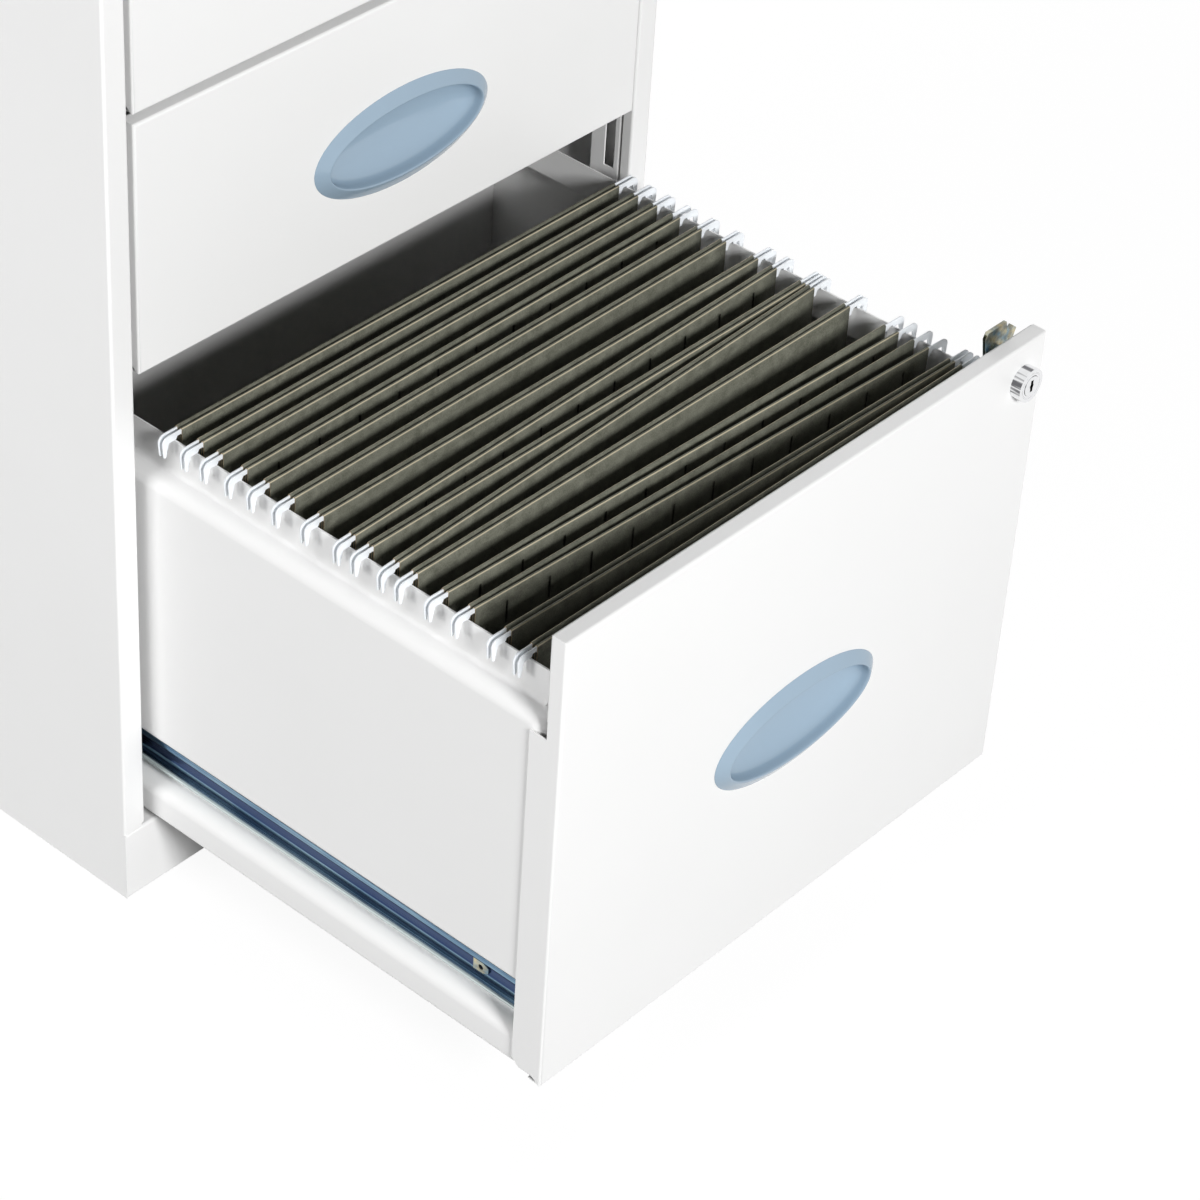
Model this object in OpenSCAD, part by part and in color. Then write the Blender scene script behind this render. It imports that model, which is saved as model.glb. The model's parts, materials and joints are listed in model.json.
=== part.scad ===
// Steel filing cabinet with two box drawers over a file drawer, shown with the file drawer pulled open.
// Millimetres, +Z up, front towards -Y. The origin is on the floor, at the middle of the cabinet's footprint.

/* [Cabinet] */
// Overall width of the cabinet
cabinet_w = 460; // [400:1:600]
// Overall depth of the cabinet
cabinet_d = 460; // [450:1:620]
// Height of the base below the lowest drawer front
plinth_h = 52; // [40:1:80]
// Height of the folded edge of the top cap
top_h = 23; // [18:1:40]
// Thickness of the sheet steel
sheet = 1; // [0.8:0.1:1.2]
// Outside radius of the folded edges
fold_r = 2; // [1.6:0.1:3]
// Width of the flange beside the drawer fronts
flange_w = 16.5; // [16:0.5:18]
// Depth of the flange's folded-back edge
flange_return = 8; // [5:0.5:9]
// Width of the flange round the back panel
rear_flange = 18; // [12:1:30]
// Width of the turned-in edge under the base
base_return = 15; // [10:1:25]

/* [Uprights] */
// Width of each slotted upright
upright_w = 26; // [24:1:34]
// Distance of the front upright from the cabinet's front
upright_setback = 9.5; // [9.2:0.1:12]
// Distance of the rear upright from the back panel
upright_rear_gap = 30; // [12:1:60]
// How far an upright's face stands inside the flange's edge
upright_inset = 0.5; // [0:0.1:1]
// Width of the slots in the uprights
slot_w = 8; // [7:0.5:9]
// Height of the slots that hold the runners
slot_h = 24; // [20:1:30]
// Height of the slot that takes the lock's latch
lock_slot_h = 54; // [50:1:56]

/* [Drawer fronts] */
// Gap between a front and the flange at each side
front_side_gap = 2.75; // [2:0.25:4]
// Height of the file drawer's front
file_front_h = 328; // [320:1:350]
// Height of a box drawer's front
box_front_h = 164; // [150:1:190]
// Gap between one front and the next
front_gap = 6; // [5.8:0.1:9]
// Gap between the base and the lowest front
plinth_gap = 3; // [2:0.5:6]
// Gap between the highest front and the top cap
top_gap = 4; // [3:0.5:8]
// How far the fronts stand proud of the flanges
front_proud = 1.5; // [0.5:0.1:3]
// Depth of a front's folded edge
front_t = 10.6; // [9.8:0.1:11.2]
// Depth of the wider side fold that wraps the drawer body
side_return = 23; // [20:0.5:25]
// How much the side fold's lower edge rises behind the front's corner
corner_rise = 4.5; // [2:0.5:6]
// How much more it rises towards its rear end
return_rise = 4.5; // [2:0.5:6]

/* [Drawer bodies] */
// Clearance between the side fold and the drawer's wall
wrap_clear = 0.2; // [0.2:0.1:0.4]
// Clearance between a closed drawer body and the rear of the cabinet
body_gap = 21; // [18:1:40]
// Depth of the runner's channel in a side, and of the ledge beside a file rail
side_depth = 12.5; // [11:0.5:14]
// Height of the file rail above the drawer's shoulder
rail_h = 24; // [20:1:30]
// Distance of the file drawer's shoulder below the top of its front
shoulder_drop = 63; // [60:1:70]
// Distance of a box drawer's top edge below the top of its front
box_drop = 36; // [30:1:50]
// Radius of the small bends in the drawer's sides
body_r = 3; // [2:0.5:3.5]
// Radius of the soft bends at the shoulder and along the beam
shoulder_r = 8; // [6:0.5:8.5]
// Height of the body's underside above the front's lower edge
body_lift = 3.5; // [3:0.5:6]
// Height of the beam below the runner
beam_h = 25.5; // [22:0.5:28]
// Height of the channel that holds the runner
channel_h = 38; // [37:0.5:42]
// Width of the turned-in edge that carries the drawer's bottom
bottom_edge = 20; // [14:1:30]

/* [Runners] */
// Distance of a runner's end from the drawer's back
runner_gap = 7; // [4:1:20]
// Height of the cabinet's half of a runner
runner_h = 35; // [34:0.5:36]
// Height of the drawer's half of a runner
inner_runner_h = 24; // [23:0.5:25]
// Depth of the drawer's half of a runner
drawer_runner_w = 6; // [5.5:0.5:7]
// Thickness of the runner's steel
runner_t = 1.2; // [1:0.1:1.4]
// Diameter of the balls
ball_d = 3.7; // [3.5:0.05:3.8]
// Number of balls in a row
ball_count = 4; // [3:1:6]
// Length of the cage that holds the balls
cage_len = 54; // [40:1:56]
// How far the file drawer stands open
file_pull = 327.5; // [300:0.5:335]

/* [Handles] */
// Length of an oval handle
handle_w = 146; // [130:1:170]
// Height of an oval handle
handle_h = 66; // [60:1:80]
// Distance of a handle below the middle of its front
handle_drop = 10.5; // [8:0.5:18]
// Depth of the finger recess
handle_depth = 14; // [10:0.5:16]
// How far the rim stands off the front
handle_rim = 5; // [3:0.5:6]
// Width of the rim round the recess
handle_rim_w = 9; // [7:0.5:11]
// Thickness of the handle's wall
handle_wall = 1.6; // [1.2:0.1:2]

/* [Lock] */
// Distance of the lock from the side edge of the file drawer's front
lock_inset = 20.75; // [20:0.25:25]
// Distance of the lock below the top of the file drawer's front
lock_drop = 25.5; // [24:0.5:26]
// Diameter of the lock's head
lock_d = 22; // [21:0.5:24]
// How far the lock's head stands off the front
lock_proud = 7.5; // [6:0.5:12]
// Diameter of the lock's barrel
barrel_d = 18.5; // [17:0.5:19]
// Diameter of the plug that the key turns
plug_d = 13; // [12:0.5:14]
// Thickness of the latch
latch_t = 2.5; // [2:0.1:3]
// Height of the latch's tooth above the lock's axis
latch_reach = 30.5; // [28.5:0.5:30.5]

/* [Hanging files] */
// Number of hanging files
file_count = 15; // [8:1:16]
// Distance from one file to the next
file_pitch = 19.8; // [18:0.1:20]
// Distance of the first file behind the front's inner face
file_first = 30; // [26:1:40]
// Gap between a folder and the file rail at each side
folder_gap = 10; // [8:1:16]
// Depth of a folder below the rail
folder_drop = 236; // [200:1:245]
// Distance between the two bars of a folder
bar_spread = 4; // [3.6:0.1:5]
// Thickness of a bar
bar_t = 1; // [0.8:0.1:1.2]
// Thickness of the card
card = 0.4; // [0.3:0.05:0.5]

/* [Hidden] */

$fn = 48;
bend_steps = 5;
half_sheet = sheet / 2;
eps = 0.01;

// Heights of the fronts and of the cabinet
file_z = plinth_h + plinth_gap;
middle_z = file_z + file_front_h + front_gap;
top_z = middle_z + box_front_h + front_gap;
body_top = top_z + box_front_h + top_gap;
cabinet_h = body_top + top_h;

// Places across the cabinet, on its right half
inside_x = cabinet_w / 2 - sheet;
opening_x = cabinet_w / 2 - flange_w;
upright_x = opening_x + upright_inset;
front_w = 2 * (opening_x - front_side_gap);
wall_x = front_w / 2 - sheet - wrap_clear;
rail_out = wall_x - side_depth;
rail_in = rail_out - sheet;
lock_x = front_w / 2 - lock_inset;
folder_w = 2 * (rail_in - folder_gap);

// Places along the depth of a closed drawer, from the cabinet's front
face_y = -front_proud;
body_y = face_y + front_t;
corner_r = side_depth;
corner_y = body_y + corner_r;
body_end = cabinet_d - body_gap;
wrap_y = face_y + side_return;

// Heights in a drawer, from its front's lower edge
channel_z = body_lift + beam_h;
channel_top = channel_z + channel_h;
runner_z = channel_z + channel_h / 2;
file_shoulder = file_front_h - shoulder_drop;
rail_top = file_shoulder + rail_h;
box_top = box_front_h - box_drop;

// Slots in the uprights: one row for the runners' hooks, and one for the latch
hook_edge = 3.5 + slot_w / 2;
rear_upright_y = cabinet_d - 2 * sheet - upright_rear_gap - upright_w;
front_slot_y = upright_setback + upright_w - hook_edge;
rear_slot_y = rear_upright_y + hook_edge;
lock_slot_y = upright_setback + 5 + slot_w / 2;

// Runners: the cabinet's half starts behind the front's side fold
runner_y = body_y + sheet + 2;
runner_end = body_end - runner_gap;
cabinet_runner_y = wrap_y + 2.5;
runner_reach = upright_x - rail_out;
cabinet_runner_lip = 0.8;
drawer_runner_lip = 2.5;
ball_x = rail_out + drawer_runner_w * 0.68;
cage_t = 0.8;
cage_back = upright_x - runner_t - 1.6;
cage_mid = (cabinet_runner_y + runner_end) / 2;
hook_w = slot_w - 2;
hook_t = 1.6;

// Lock
lock_z = file_front_h - lock_drop;
barrel_clear = 0.4;
plug_clear = 0.08;
nut_t = 3.4;
nut_w = 26;
latch_y = lock_slot_y - latch_t / 2;
latch_tooth = 15;
latch_boss = 10;
key_w = 2.4;
key_h = 8;
key_deep = 11;
screw_head_d = 9;
screw_head_t = 2.4;
screw_d = 5.6;

// Files
bar_h = 12;
bar_above = 5;
hook_reach = 8.5;
hook_drop = 9;
hook_nose = 4.5;
hook_slot = 6;
hook_notch = 2;
hem_clear = 0.15;
hem_drop = 13;
fold_w = 1.4;
bunch = 5;
bunch_files = 7;

steel_white = [0.93, 0.93, 0.92];
zinc = [0.62, 0.68, 0.74];
passivate = [0.85, 0.78, 0.58];
chrome = [0.82, 0.82, 0.83];
handle_blue = [0.52, 0.64, 0.76];
card_green = [0.42, 0.43, 0.36];
bar_white = [0.94, 0.95, 0.97];

// Helpers: bent sheet outlines and directions

function unit(v) = v / norm(v);
function left_of(v) = [-v[1], v[0]];
function turned(v, a) = [v[0] * cos(a) - v[1] * sin(a), v[0] * sin(a) + v[1] * cos(a)];
function bend_angle(u, v) = atan2(u[0] * v[1] - u[1] * v[0], u * v);

// Stations along the bend at point b, each a place and a heading
function bend(a, b, c, r) =
    let (u = unit(b - a), turn = bend_angle(u, unit(c - b)))
    let (start = b - u * r * tan(abs(turn) / 2))
    let (centre = start + left_of(u) * r * sign(turn))
    [for (k = [0 : bend_steps])
        [centre + turned(start - centre, turn * k / bend_steps), turned(u, turn * k / bend_steps)]];

// Stations along a sheet's middle line, with its corners rounded by one radius or by one for each
function stations(path, r) =
    let (n = len(path) - 1)
    concat(
        [[path[0], unit(path[1] - path[0])]],
        [for (i = [1 : n - 1]) each bend(path[i - 1], path[i], path[i + 1], is_list(r) ? r[i - 1] : r)],
        [[path[n], unit(path[n] - path[n - 1])]]
    );

// Section of a sheet of thickness t bent along a path
module bent(path, r, t = sheet) {
    s = stations(path, r);
    n = len(s) - 1;
    polygon(concat(
        [for (i = [0 : n]) s[i][0] + left_of(s[i][1]) * t / 2],
        [for (i = [n : -1 : 0]) s[i][0] - left_of(s[i][1]) * t / 2]
    ));
}

// Rectangle from corner p to corner q with the corners at its low side rounded
module eased(p, q, r) {
    arc = [for (k = [0 : bend_steps]) 90 * k / bend_steps];
    polygon(concat(
        [for (a = arc) [p[0] + r - r * cos(a), p[1] + r - r * sin(a)]],
        [for (a = arc) [q[0] - r + r * sin(a), p[1] + r - r * cos(a)]],
        [[q[0], q[1]], [p[0], q[1]]]
    ));
}

module oval(w, h) {
    polygon([for (k = [0 : $fn - 1]) [w / 2 * cos(360 * k / $fn), h / 2 * sin(360 * k / $fn)]]);
}

module block(low, high) {
    translate(low) cube(high - low);
}

// A section in X and Z, drawn out along Y
module along_y(y0, y1) {
    translate([0, y1, 0]) rotate([90, 0, 0]) linear_extrude(y1 - y0) children();
}

// A section in Y and Z, drawn out along X
module along_x(x0, x1) {
    translate([x0, 0, 0]) rotate([90, 0, 90]) linear_extrude(x1 - x0) children();
}

// Pieces are drawn on the right, and the left ones are their mirror images
module on_left() {
    mirror([1, 0, 0]) children();
}

// The cabinet's frame, measured from its front, and the three drawers in it
module in_cabinet() {
    translate([0, -cabinet_d / 2, 0]) children();
}
module in_file(pull = file_pull) {
    in_cabinet() translate([0, -pull, file_z]) children();
}
module in_middle() {
    in_cabinet() translate([0, 0, middle_z]) children();
}
module in_top() {
    in_cabinet() translate([0, 0, top_z]) children();
}

// Cabinet

module side_panel() {
    x = cabinet_w / 2 - half_sheet;
    back = [[x, cabinet_d - half_sheet], [cabinet_w / 2 - rear_flange, cabinet_d - half_sheet]];
    relief = 3;
    color(steel_white) in_cabinet() {
        difference() {
            translate([0, 0, plinth_h]) linear_extrude(body_top - plinth_h)
                bent(concat([
                    [opening_x + half_sheet, flange_return],
                    [opening_x + half_sheet, half_sheet],
                    [x, half_sheet]
                ], back), fold_r - half_sheet);
            block([opening_x - eps, -eps, plinth_h - eps],
                [opening_x + relief, flange_return + eps, plinth_h + relief]);
        }
        linear_extrude(plinth_h) bent(concat([[x, 0]], back), fold_r - half_sheet);
        block([inside_x - rear_flange, flange_return + sheet, body_top - sheet],
            [inside_x + half_sheet, cabinet_d - 2 * sheet, body_top]);
    }
}
module left_side_panel() { on_left() side_panel(); }
module right_side_panel() { side_panel(); }

module back_panel() {
    overlap = top_h / 2;
    half = cabinet_w / 2 - fold_r - 0.2;
    color(steel_white) in_cabinet()
        block([-half, cabinet_d - 2 * sheet, 0], [half, cabinet_d - sheet, body_top + overlap]);
}

module top_cap() {
    lip = 14;
    color(steel_white) in_cabinet() {
        difference() {
            intersection() {
                along_x(-cabinet_w / 2, cabinet_w / 2) mirror([0, 1])
                    eased([0, -cabinet_h], [cabinet_d, -body_top], fold_r);
                along_y(0, cabinet_d) mirror([0, 1])
                    eased([-cabinet_w / 2, -cabinet_h], [cabinet_w / 2, -body_top], fold_r);
                linear_extrude(cabinet_h)
                    eased([-cabinet_w / 2, 0], [cabinet_w / 2, cabinet_d], fold_r);
            }
            block([-inside_x, sheet, body_top - eps], [inside_x, cabinet_d - sheet, cabinet_h - sheet]);
        }
        block([-opening_x, half_sheet, body_top], [opening_x, lip, body_top + sheet]);
    }
}

module base_pan() {
    rear = cabinet_d - 2 * sheet - half_sheet;
    under = plinth_h - half_sheet;
    color(steel_white) in_cabinet() {
        along_x(-inside_x, inside_x)
            bent([
                [base_return, half_sheet], [half_sheet, half_sheet], [half_sheet, under],
                [rear, under], [rear, half_sheet], [rear - base_return, half_sheet]
            ], fold_r - half_sheet);
        for (side = [-1, 1]) {
            outer = side * inside_x;
            inner = side * (inside_x - sheet);
            ledge = side * (inside_x - base_return);
            block([min(outer, inner), fold_r, 0], [max(outer, inner), rear - fold_r, under]);
            block([min(outer, ledge), fold_r, 0], [max(outer, ledge), rear - fold_r, sheet]);
        }
    }
}

// Slotted upright with its face towards the drawers, y0 from the cabinet's front
module upright(y0, slot_y, lock_slot) {
    levels = [file_z, middle_z, top_z];
    web = [upright_x - eps, upright_x + sheet + eps];
    color(steel_white) in_cabinet() difference() {
        translate([0, 0, plinth_h]) linear_extrude(body_top - sheet - plinth_h)
            bent([
                [inside_x, y0 + half_sheet], [upright_x + half_sheet, y0 + half_sheet],
                [upright_x + half_sheet, y0 + upright_w - half_sheet], [inside_x, y0 + upright_w - half_sheet]
            ], fold_r - half_sheet);
        for (z = levels)
            block([web[0], slot_y - slot_w / 2, z + runner_z - slot_h / 2],
                [web[1], slot_y + slot_w / 2, z + runner_z + slot_h / 2]);
        if (lock_slot)
            block([web[0], lock_slot_y - slot_w / 2, file_z + lock_z + latch_reach + 4 - lock_slot_h],
                [web[1], lock_slot_y + slot_w / 2, file_z + lock_z + latch_reach + 4]);
    }
}
module front_left_upright() { on_left() upright(upright_setback, front_slot_y, true); }
module front_right_upright() { upright(upright_setback, front_slot_y, true); }
module rear_left_upright() { on_left() upright(rear_upright_y, rear_slot_y, false); }
module rear_right_upright() { upright(rear_upright_y, rear_slot_y, false); }

// Runners

// The cabinet's half, hung by two hooks in the uprights' slots
module cabinet_runner() {
    back = upright_x - runner_t / 2;
    tip = rail_out + cabinet_runner_lip + runner_t;
    reach = runner_h / 2 - runner_t / 2;
    catch = slot_h / 2 + 4;
    color(zinc) translate([0, 0, runner_z]) {
        along_y(cabinet_runner_y, runner_end)
            bent([[tip, reach], [back, reach], [back, -reach], [tip, -reach]], runner_t, runner_t);
        for (y = [front_slot_y, rear_slot_y]) {
            block([back, y - hook_w / 2, -slot_h / 4],
                [upright_x + sheet + 0.4 + hook_t, y + hook_w / 2, slot_h / 4]);
            block([upright_x + sheet + 0.4, y - hook_w / 2, -catch],
                [upright_x + sheet + 0.4 + hook_t, y + hook_w / 2, slot_h / 4]);
        }
    }
}

// The drawer's half, lying in the channel of the drawer's side
module drawer_runner() {
    web = rail_out + runner_t / 2;
    tip = rail_out + drawer_runner_w - runner_t / 2;
    reach = inner_runner_h / 2 - runner_t / 2;
    color(zinc) translate([0, 0, runner_z]) along_y(runner_y, runner_end)
        bent([
            [tip, reach - drawer_runner_lip], [tip, reach], [web, reach],
            [web, -reach], [tip, -reach], [tip, drawer_runner_lip - reach]
        ], runner_t, runner_t);
}

// Cage with a row of balls above and below the drawer's half, which it follows at half its speed
module ball_cage(pull) {
    y0 = cage_mid - pull / 2 - cage_len / 2;
    row = (inner_runner_h + runner_h - 2 * runner_t) / 4;
    tip = ball_x - ball_d;
    color(passivate) translate([0, 0, runner_z]) {
        along_y(y0, y0 + cage_len)
            bent([[tip, row], [cage_back, row], [cage_back, -row], [tip, -row]], cage_t * 2, cage_t);
        for (k = [0 : ball_count - 1], side = [-1, 1])
            translate([ball_x, y0 + cage_len * (k + 0.5) / ball_count, side * row]) sphere(d = ball_d);
    }
}

// Small spring clip that holds the drawer's half at its front end
module runner_clip() {
    clip_y = body_y + 43;
    clip_w = 12;
    clip_h = 8;
    clip_t = 1.5;
    hole_d = 3.4;
    color(passivate) translate([rail_out + runner_t, clip_y, runner_z - clip_h / 2]) difference() {
        cube([clip_t, clip_w, clip_h]);
        translate([-eps, clip_w / 2, clip_h / 2]) rotate([0, 90, 0])
            cylinder(d = hole_d, h = clip_t + 2 * eps);
    }
}
module runner_clips() {
    runner_clip();
    on_left() runner_clip();
}

module file_left_cabinet_runner() { on_left() in_file(0) cabinet_runner(); }
module file_right_cabinet_runner() { in_file(0) cabinet_runner(); }
module middle_left_cabinet_runner() { on_left() in_middle() cabinet_runner(); }
module middle_right_cabinet_runner() { in_middle() cabinet_runner(); }
module top_left_cabinet_runner() { on_left() in_top() cabinet_runner(); }
module top_right_cabinet_runner() { in_top() cabinet_runner(); }

module file_left_ball_cage() { on_left() in_file(0) ball_cage(file_pull); }
module file_right_ball_cage() { in_file(0) ball_cage(file_pull); }
module middle_left_ball_cage() { on_left() in_middle() ball_cage(0); }
module middle_right_ball_cage() { in_middle() ball_cage(0); }
module top_left_ball_cage() { on_left() in_top() ball_cage(0); }
module top_right_ball_cage() { in_top() ball_cage(0); }

module file_left_drawer_runner() { on_left() in_file() drawer_runner(); }
module file_right_drawer_runner() { in_file() drawer_runner(); }
module middle_left_drawer_runner() { on_left() in_middle() drawer_runner(); }
module middle_right_drawer_runner() { in_middle() drawer_runner(); }
module top_left_drawer_runner() { on_left() in_top() drawer_runner(); }
module top_right_drawer_runner() { in_top() drawer_runner(); }

module file_runner_clips() { in_file() runner_clips(); }
module middle_runner_clips() { in_middle() runner_clips(); }
module top_runner_clips() { in_top() runner_clips(); }

// Drawer bodies

// Section of the swollen part of a side between two heights, measured from the side's inner plane
module swell(low, high) {
    out = corner_r - half_sheet;
    upper = high - half_sheet;
    lower = low + half_sheet;
    bent([[0, upper], [out, upper], [out, lower], [0, lower]], [shoulder_r, body_r]);
}

// Formed side with a channel for the runner, its front end turned in round a bend
module drawer_side(shoulder, top) {
    plane = rail_in + half_sheet;
    wall = wall_x - half_sheet;
    color(steel_white) {
        along_y(corner_y, body_end)
            bent([
                [plane, top], [plane, shoulder - half_sheet], [wall, shoulder - half_sheet],
                [wall, channel_top + half_sheet], [plane, channel_top + half_sheet],
                [plane, channel_z - half_sheet], [wall, channel_z - half_sheet],
                [wall, body_lift + half_sheet], [wall_x - bottom_edge, body_lift + half_sheet]
            ], [body_r, shoulder_r, body_r, body_r, body_r, shoulder_r, body_r]);
        translate([rail_out, corner_y, 0]) rotate([0, 0, -90]) rotate_extrude(angle = 90) {
            swell(channel_top, shoulder);
            swell(body_lift, channel_z);
        }
        block([rail_in, body_y, body_lift], [rail_out, corner_y + eps, shoulder]);
        block([rail_in, body_y + sheet, shoulder - eps], [rail_out, corner_y + eps, top]);
    }
}

// Outline of the drawer body between its two sides, with the same soft upper corners
module soft_top(low, high) {
    rotate(180) eased([-wall_x, -high], [wall_x, -low], shoulder_r);
}
module body_outline(shoulder) {
    soft_top(body_lift, channel_z);
    translate([-rail_out, body_lift]) square([2 * rail_out, shoulder - body_lift]);
    soft_top(channel_top, shoulder);
}

module drawer_back(shoulder) {
    color(steel_white) along_y(body_end, body_end + sheet) body_outline(shoulder);
}

module drawer_bottom() {
    half = wall_x - sheet - body_r;
    low = body_lift + sheet;
    color(steel_white) {
        block([-rail_in, body_y + sheet, low], [rail_in, corner_y + 1, low + sheet]);
        block([-half, corner_y + 0.5, low], [half, body_end, low + sheet]);
    }
}

// Drawer fronts

module handle_hole(h) {
    seat = handle_rim_w * 0.6;
    translate([0, h / 2 - handle_drop]) oval(handle_w - 2 * seat, handle_h - 2 * seat);
}

// Lower edge of the side folds: it rises softly behind the front's corner and again at its rear end
function soft(u) = (1 - cos(180 * min(1, max(0, u)))) / 2;
function wrap_edge(t) = [
    face_y + (wrap_y - face_y) * t,
    corner_rise * soft(t / 0.35) + return_rise * soft((t - 0.75) / 0.25)
];

// Folded pan with wider side folds that wrap the body below the shoulder
module front_pan(h, shoulder) {
    half = front_w / 2;
    step = 9;
    edge_steps = 16;
    color(steel_white) difference() {
        union() {
            difference() {
                intersection() {
                    linear_extrude(h) eased([-half, face_y], [half, body_y], fold_r);
                    rotate([90, 0, 90]) translate([0, 0, -half]) linear_extrude(front_w)
                        mirror([1, -1]) eased([0, face_y], [h, body_y], fold_r);
                }
                block([sheet - half, face_y + sheet, sheet], [half - sheet, body_y + eps, h - sheet]);
            }
            for (x = [-half, half - sheet])
                block([x, body_y - sheet, 0], [x + sheet, wrap_y, shoulder - step]);
        }
        for (x = [-half - eps, half - sheet])
            along_x(x, x + sheet + eps)
                polygon(concat(
                    [for (k = [0 : edge_steps]) wrap_edge(k / edge_steps)],
                    [[wrap_y + eps, corner_rise + return_rise], [wrap_y + eps, -eps], [face_y, -eps]]
                ));
        along_y(face_y - eps, face_y + 2 * sheet) handle_hole(h);
        children();
    }
}

// Flat panel that closes the pan from behind and joins the two sides
module inner_front(h, shoulder) {
    half = front_w / 2 - half_sheet;
    rim = shoulder + body_r;
    color(steel_white) difference() {
        along_y(body_y, body_y + sheet) {
            translate([-rail_in, body_lift]) square([2 * rail_in, rim - body_lift]);
            translate([-half, rim]) square([2 * half, h - half_sheet - rim]);
        }
        along_y(body_y - eps, body_y + 2 * sheet) handle_hole(h);
        children();
    }
}

module lock_hole() {
    along_y(face_y - eps, body_y + 2 * sheet) translate([lock_x, lock_z]) circle(d = barrel_d + barrel_clear);
}

// Oval pull cup: rings of a loft from the recess floor, over the rim, to the back of the cup
// Each ring is [inset from the outline, share of what is left, depth, extra depth at the top]
module handle(h) {
    deep = handle_depth;
    rim = handle_rim;
    w = handle_rim_w;
    t = handle_wall;
    floor_in = w + 1.5;
    rings = [
        [floor_in, 0.25, deep * 0.93, deep * 0.03], [floor_in, 0.50, deep * 0.84, deep * 0.08],
        [floor_in, 0.72, deep * 0.69, deep * 0.12], [floor_in, 0.88, deep * 0.50, deep * 0.12],
        [floor_in, 1, deep * 0.22, deep * 0.05], [w + 0.9, 1, -rim * 0.20, 0],
        [w + 0.4, 1, -rim * 0.80, 0], [w - 0.4, 1, -rim, 0], [w * 0.82, 1, -rim * 0.90, 0],
        [w * 0.58, 1, -rim * 0.66, 0], [w * 0.30, 1, -rim * 0.36, 0], [w * 0.08, 1, -rim * 0.10, 0],
        [0, 1, 0, 0], [w * 0.7, 1, 0, 0], [w - 0.6, 1, deep * 0.12, deep * 0.03],
        [w + 0.6, 1, deep * 0.30 + t / 2, deep * 0.08], [floor_in, 0.90, deep * 0.50 + t, deep * 0.12],
        [floor_in, 0.73, deep * 0.69 + t, deep * 0.12], [floor_in, 0.50, deep * 0.84 + t, deep * 0.08],
        [floor_in, 0.25, deep * 0.93 + t, deep * 0.03]
    ];
    n = len(rings);
    m = $fn;
    points = [for (r = rings, k = [0 : m - 1])
        let (a = 360 * k / m)
        [(handle_w / 2 - r[0]) * r[1] * cos(a), face_y + r[2] + r[3] * sin(a),
            (handle_h / 2 - r[0]) * r[1] * sin(a)]];
    walls = [for (i = [0 : n - 2], k = [0 : m - 1])
        let (a = i * m + k, b = i * m + (k + 1) % m)
        each [[a, b, b + m], [a, b + m, a + m]]];
    caps = [[for (k = [m - 1 : -1 : 0]) k], [for (k = [0 : m - 1]) (n - 1) * m + k]];
    color(handle_blue) translate([0, 0, h / 2 - handle_drop]) polyhedron(points, concat(walls, caps));
}

module file_front() { in_file() front_pan(file_front_h, file_shoulder) lock_hole(); }
module middle_front() { in_middle() front_pan(box_front_h, box_top); }
module top_front() { in_top() front_pan(box_front_h, box_top); }

module file_inner_front() { in_file() inner_front(file_front_h, file_shoulder) lock_hole(); }
module middle_inner_front() { in_middle() inner_front(box_front_h, box_top); }
module top_inner_front() { in_top() inner_front(box_front_h, box_top); }

box_lip = 10;

module file_left_side() { on_left() in_file() drawer_side(file_shoulder, rail_top); }
module file_right_side() { in_file() drawer_side(file_shoulder, rail_top); }
module middle_left_side() { on_left() in_middle() drawer_side(box_top, box_top + box_lip); }
module middle_right_side() { in_middle() drawer_side(box_top, box_top + box_lip); }
module top_left_side() { on_left() in_top() drawer_side(box_top, box_top + box_lip); }
module top_right_side() { in_top() drawer_side(box_top, box_top + box_lip); }

module file_back() { in_file() drawer_back(file_shoulder); }
module middle_back() { in_middle() drawer_back(box_top); }
module top_back() { in_top() drawer_back(box_top); }

module file_bottom() { in_file() drawer_bottom(); }
module middle_bottom() { in_middle() drawer_bottom(); }
module top_bottom() { in_top() drawer_bottom(); }

module file_handle() { in_file() handle(file_front_h); }
module middle_handle() { in_middle() handle(box_front_h); }
module top_handle() { in_top() handle(box_front_h); }

// Lock, its axis along Y

// Round bar on the lock's axis
module on_lock(y0, y1, d) {
    along_y(y0, y1) translate([lock_x, lock_z]) circle(d = d);
}

module lock_housing() {
    head = face_y - lock_proud;
    ring_in = plug_d + 3;
    color(chrome) in_file() difference() {
        union() {
            on_lock(head, face_y, lock_d);
            on_lock(face_y - eps, body_y + sheet + nut_t, barrel_d);
        }
        on_lock(head - eps, body_y + sheet + nut_t + eps, plug_d + 2 * plug_clear);
        difference() {
            on_lock(head - eps, head + 0.6, ring_in + 1.6);
            on_lock(head - 2 * eps, head + 0.7, ring_in);
        }
    }
}

module lock_nut() {
    color(zinc) in_file() difference() {
        along_y(body_y + sheet, body_y + sheet + nut_t)
            translate([lock_x, lock_z]) circle(d = nut_w, $fn = 6);
        on_lock(body_y, body_y + sheet + nut_t + eps, barrel_d + barrel_clear);
    }
}

module lock_plug() {
    head = face_y - lock_proud - 0.4;
    color(chrome) in_file() difference() {
        on_lock(head, latch_y, plug_d);
        block([lock_x - key_w / 2, head - eps, lock_z - key_h / 2],
            [lock_x + key_w / 2, head + key_deep, lock_z + key_h / 2]);
        on_lock(head - eps, head + key_deep, key_w * 1.5);
    }
}

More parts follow.
